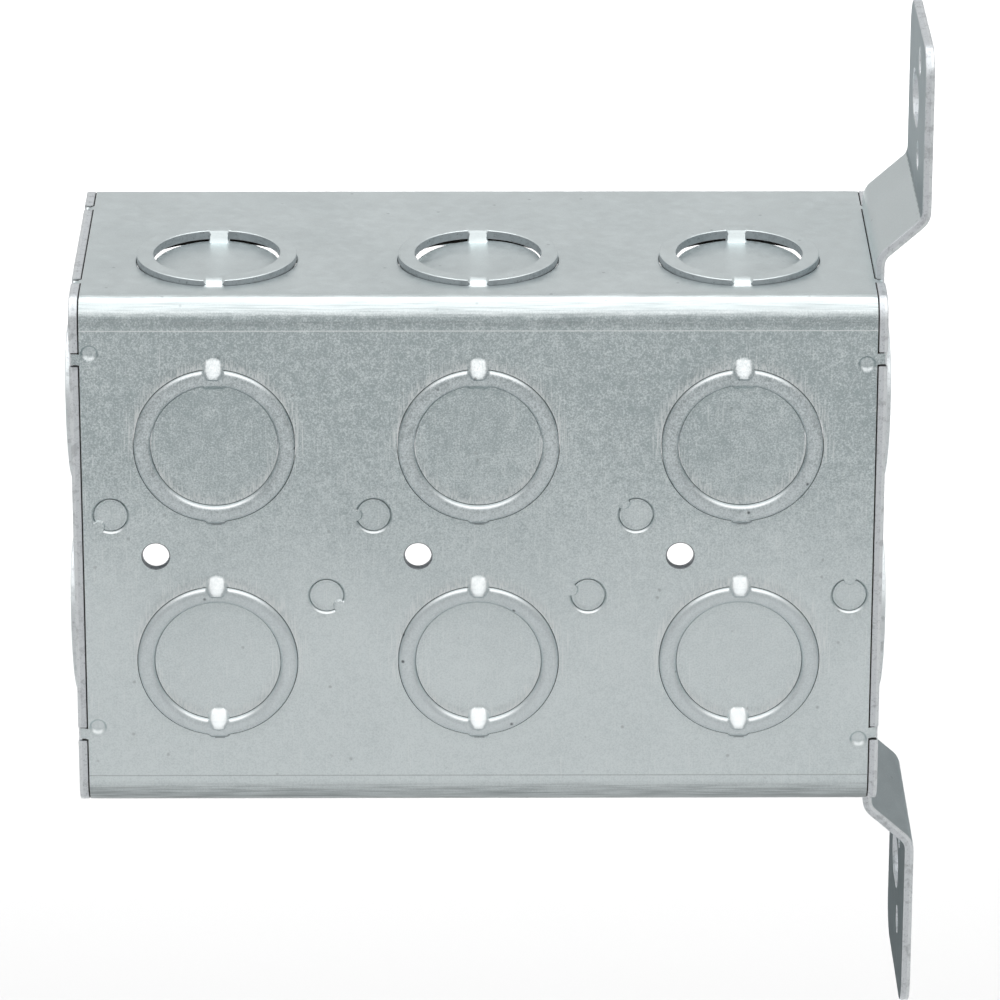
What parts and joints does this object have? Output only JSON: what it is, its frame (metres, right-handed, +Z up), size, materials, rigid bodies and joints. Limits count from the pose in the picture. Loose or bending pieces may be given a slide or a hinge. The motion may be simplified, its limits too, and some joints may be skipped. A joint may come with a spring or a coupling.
{
  "type": "masonry box",
  "caption": "Galvanised sheet-steel electrical masonry box with an open mouth, flanges for wiring devices, concentric knockouts and offset fixing ears on one end.",
  "frame": {"origin": "centre of the mouth, on the outer plane of the device flanges", "axes": "+X along the row of gangs to the end plate with ears, +Y out of the mouth, +Z up along the ears"},
  "size_m": [0.1513, 0.0647, 0.1778],
  "materials": {
    "galvanised_steel": "hot-dip galvanised sheet, satin and faintly mottled, with sheared edges left bare"
  },
  "bodies": {
    "root": {"body": "galvanised_steel", "left_end_plate": "galvanised_steel", "right_end_plate": "galvanised_steel"}
  },
  "joints": []
}
